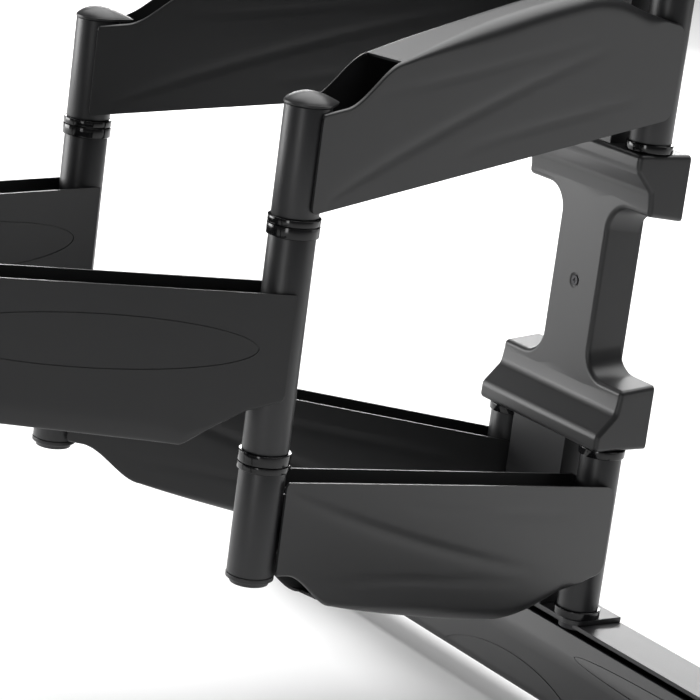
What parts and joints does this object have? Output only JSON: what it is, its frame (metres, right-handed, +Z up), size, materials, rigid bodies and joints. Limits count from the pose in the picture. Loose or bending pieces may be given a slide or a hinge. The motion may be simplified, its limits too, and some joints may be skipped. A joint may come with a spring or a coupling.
{
  "type": "full motion tv wall mount",
  "caption": "Full motion wall mount for a large flat screen: paired swinging arms on a wall frame, a tilting head and two sliding screen brackets.",
  "frame": {"origin": "on the wall plane, midway between the two wall pivots and at mid height of the wall frame", "axes": "+Y into the wall, -Y out into the room, +Z up, +X to the right of a person who faces the wall"},
  "size_m": [0.846, 0.8123, 0.65],
  "materials": {
    "powder_coat": "satin black powder coat",
    "satin_plastic": "satin black moulded plastic, fine texture",
    "ring_plastic": "polished black plastic",
    "black_fastener": "black oxide steel",
    "bright_steel": "zinc plated steel",
    "knob_plastic": "moulded black plastic"
  },
  "bodies": {
    "wall_frame": {"spine_plate": "powder_coat", "core_channel": "powder_coat", "spine_cover": "satin_plastic", "cover_screw": "black_fastener", "wall_pins": "black_fastener", "upper_lug_plate": "powder_coat", "upper_column": "powder_coat", "upper_pivot_tab": "powder_coat", "upper_wall_rail": "powder_coat", "upper_rail_cover": "satin_plastic", "lower_lug_plate": "powder_coat", "lower_column": "powder_coat", "lower_pivot_tab": "powder_coat", "lower_wall_rail": "powder_coat", "lower_rail_cover": "satin_plastic", "wall_rail_caps": "satin_plastic"},
    "right_wall_arm": {"right_upper_arm_beam": "powder_coat", "right_upper_arm_cover": "satin_plastic", "right_upper_arm_bushes": "ring_plastic", "right_lower_arm_beam": "powder_coat", "right_lower_arm_cover": "satin_plastic", "right_lower_arm_bushes": "ring_plastic", "right_top_cap": "satin_plastic", "right_bottom_cap": "satin_plastic"},
    "right_elbow": {"right_elbow_shaft": "bright_steel"},
    "right_front_arm": {"right_front_arm_beam": "powder_coat", "right_front_arm_cover": "satin_plastic", "right_front_arm_bushes": "ring_plastic"},
    "left_wall_arm": {"left_upper_arm_beam": "powder_coat", "left_upper_arm_cover": "satin_plastic", "left_upper_arm_bushes": "ring_plastic", "left_lower_arm_beam": "powder_coat", "left_lower_arm_cover": "satin_plastic", "left_lower_arm_bushes": "ring_plastic", "left_top_cap": "satin_plastic", "left_bottom_cap": "satin_plastic"},
    "left_elbow": {"left_elbow_shaft": "bright_steel"},
    "left_front_arm": {"left_front_arm_beam": "powder_coat", "left_front_arm_cover": "satin_plastic", "left_front_arm_bushes": "ring_plastic"},
    "screen_head": {"upper_head_lug": "powder_coat", "lower_head_lug": "powder_coat", "head_plate": "powder_coat", "head_pins": "black_fastener", "head_cheeks": "powder_coat", "tilt_bolts": "black_fastener"},
    "tilt_frame": {"tilt_cheeks": "powder_coat", "tilt_plate": "powder_coat", "guide_bolts": "black_fastener", "upper_screen_rail": "powder_coat", "lower_screen_rail": "powder_coat", "screen_rail_caps": "satin_plastic"},
    "right_knob": {"right_tilt_knob": "knob_plastic"},
    "right_bracket": {"right_screen_bracket": "powder_coat", "right_bracket_hooks": "powder_coat", "right_lock_screw": "black_fastener"},
    "left_knob": {"left_tilt_knob": "knob_plastic"},
    "left_bracket": {"left_screen_bracket": "powder_coat", "left_bracket_hooks": "powder_coat", "left_lock_screw": "black_fastener"}
  },
  "joints": [
    {"name": "right_arm_swing", "type": "hinge", "parent": "wall_frame", "child": "right_wall_arm", "pos_m": [0.054, -0.03, 0], "axis": [0, 0, 1], "range_deg": [-12, 68]},
    {"name": "left_arm_swing", "type": "hinge", "parent": "wall_frame", "child": "left_wall_arm", "pos_m": [-0.054, -0.03, 0], "axis": [0, 0, -1], "range_deg": [-18, 62]},
    {"name": "right_elbow_turn", "type": "hinge", "parent": "right_wall_arm", "child": "right_elbow", "pos_m": [0.12469, -0.36257, 0], "axis": [0, 0, -1], "range_deg": [-12, 68]},
    {"name": "left_elbow_turn", "type": "hinge", "parent": "left_wall_arm", "child": "left_elbow", "pos_m": [-0.15907, -0.35336, 0], "axis": [0, 0, 1], "range_deg": [-18, 62]},
    {"name": "right_front_swing", "type": "hinge", "parent": "right_elbow", "child": "right_front_arm", "pos_m": [0.12469, -0.36257, 0], "axis": [0, 0, -1], "range_deg": [-18, 62]},
    {"name": "left_front_swing", "type": "hinge", "parent": "left_elbow", "child": "left_front_arm", "pos_m": [-0.15907, -0.35336, 0], "axis": [0, 0, 1], "range_deg": [-12, 68]},
    {"name": "screen_head_turn", "type": "hinge", "parent": "right_front_arm", "child": "screen_head", "pos_m": [0.01962, -0.68593, 0], "axis": [0, 0, 1], "range_deg": [-18, 62]},
    {"name": "screen_tilt", "type": "hinge", "parent": "screen_head", "child": "tilt_frame", "pos_m": [-0.03438, -0.74793, 0], "axis": [1, 0, 0], "range_deg": [-5, 15]},
    {"name": "right_knob_turn", "type": "hinge", "parent": "tilt_frame", "child": "right_knob", "pos_m": [0.03562, -0.74793, 0.032], "axis": [1, 0, 0], "range_deg": [0, 270]},
    {"name": "right_bracket_slide", "type": "slide", "parent": "tilt_frame", "child": "right_bracket", "axis": [1, 0, 0], "range_m": [-0.1, 0.2]},
    {"name": "left_knob_turn", "type": "hinge", "parent": "tilt_frame", "child": "left_knob", "pos_m": [-0.10438, -0.74793, 0.032], "axis": [-1, 0, 0], "range_deg": [0, 270]},
    {"name": "left_bracket_slide", "type": "slide", "parent": "tilt_frame", "child": "left_bracket", "axis": [-1, 0, 0], "range_m": [-0.1, 0.2]}
  ],
  "couplings": [
    {"joint": "right_elbow_turn", "follows": "right_arm_swing", "ratio": 1},
    {"joint": "left_front_swing", "follows": "right_arm_swing", "ratio": 1},
    {"joint": "left_elbow_turn", "follows": "left_arm_swing", "ratio": 1},
    {"joint": "right_front_swing", "follows": "left_arm_swing", "ratio": 1},
    {"joint": "screen_head_turn", "follows": "left_arm_swing", "ratio": 1}
  ]
}
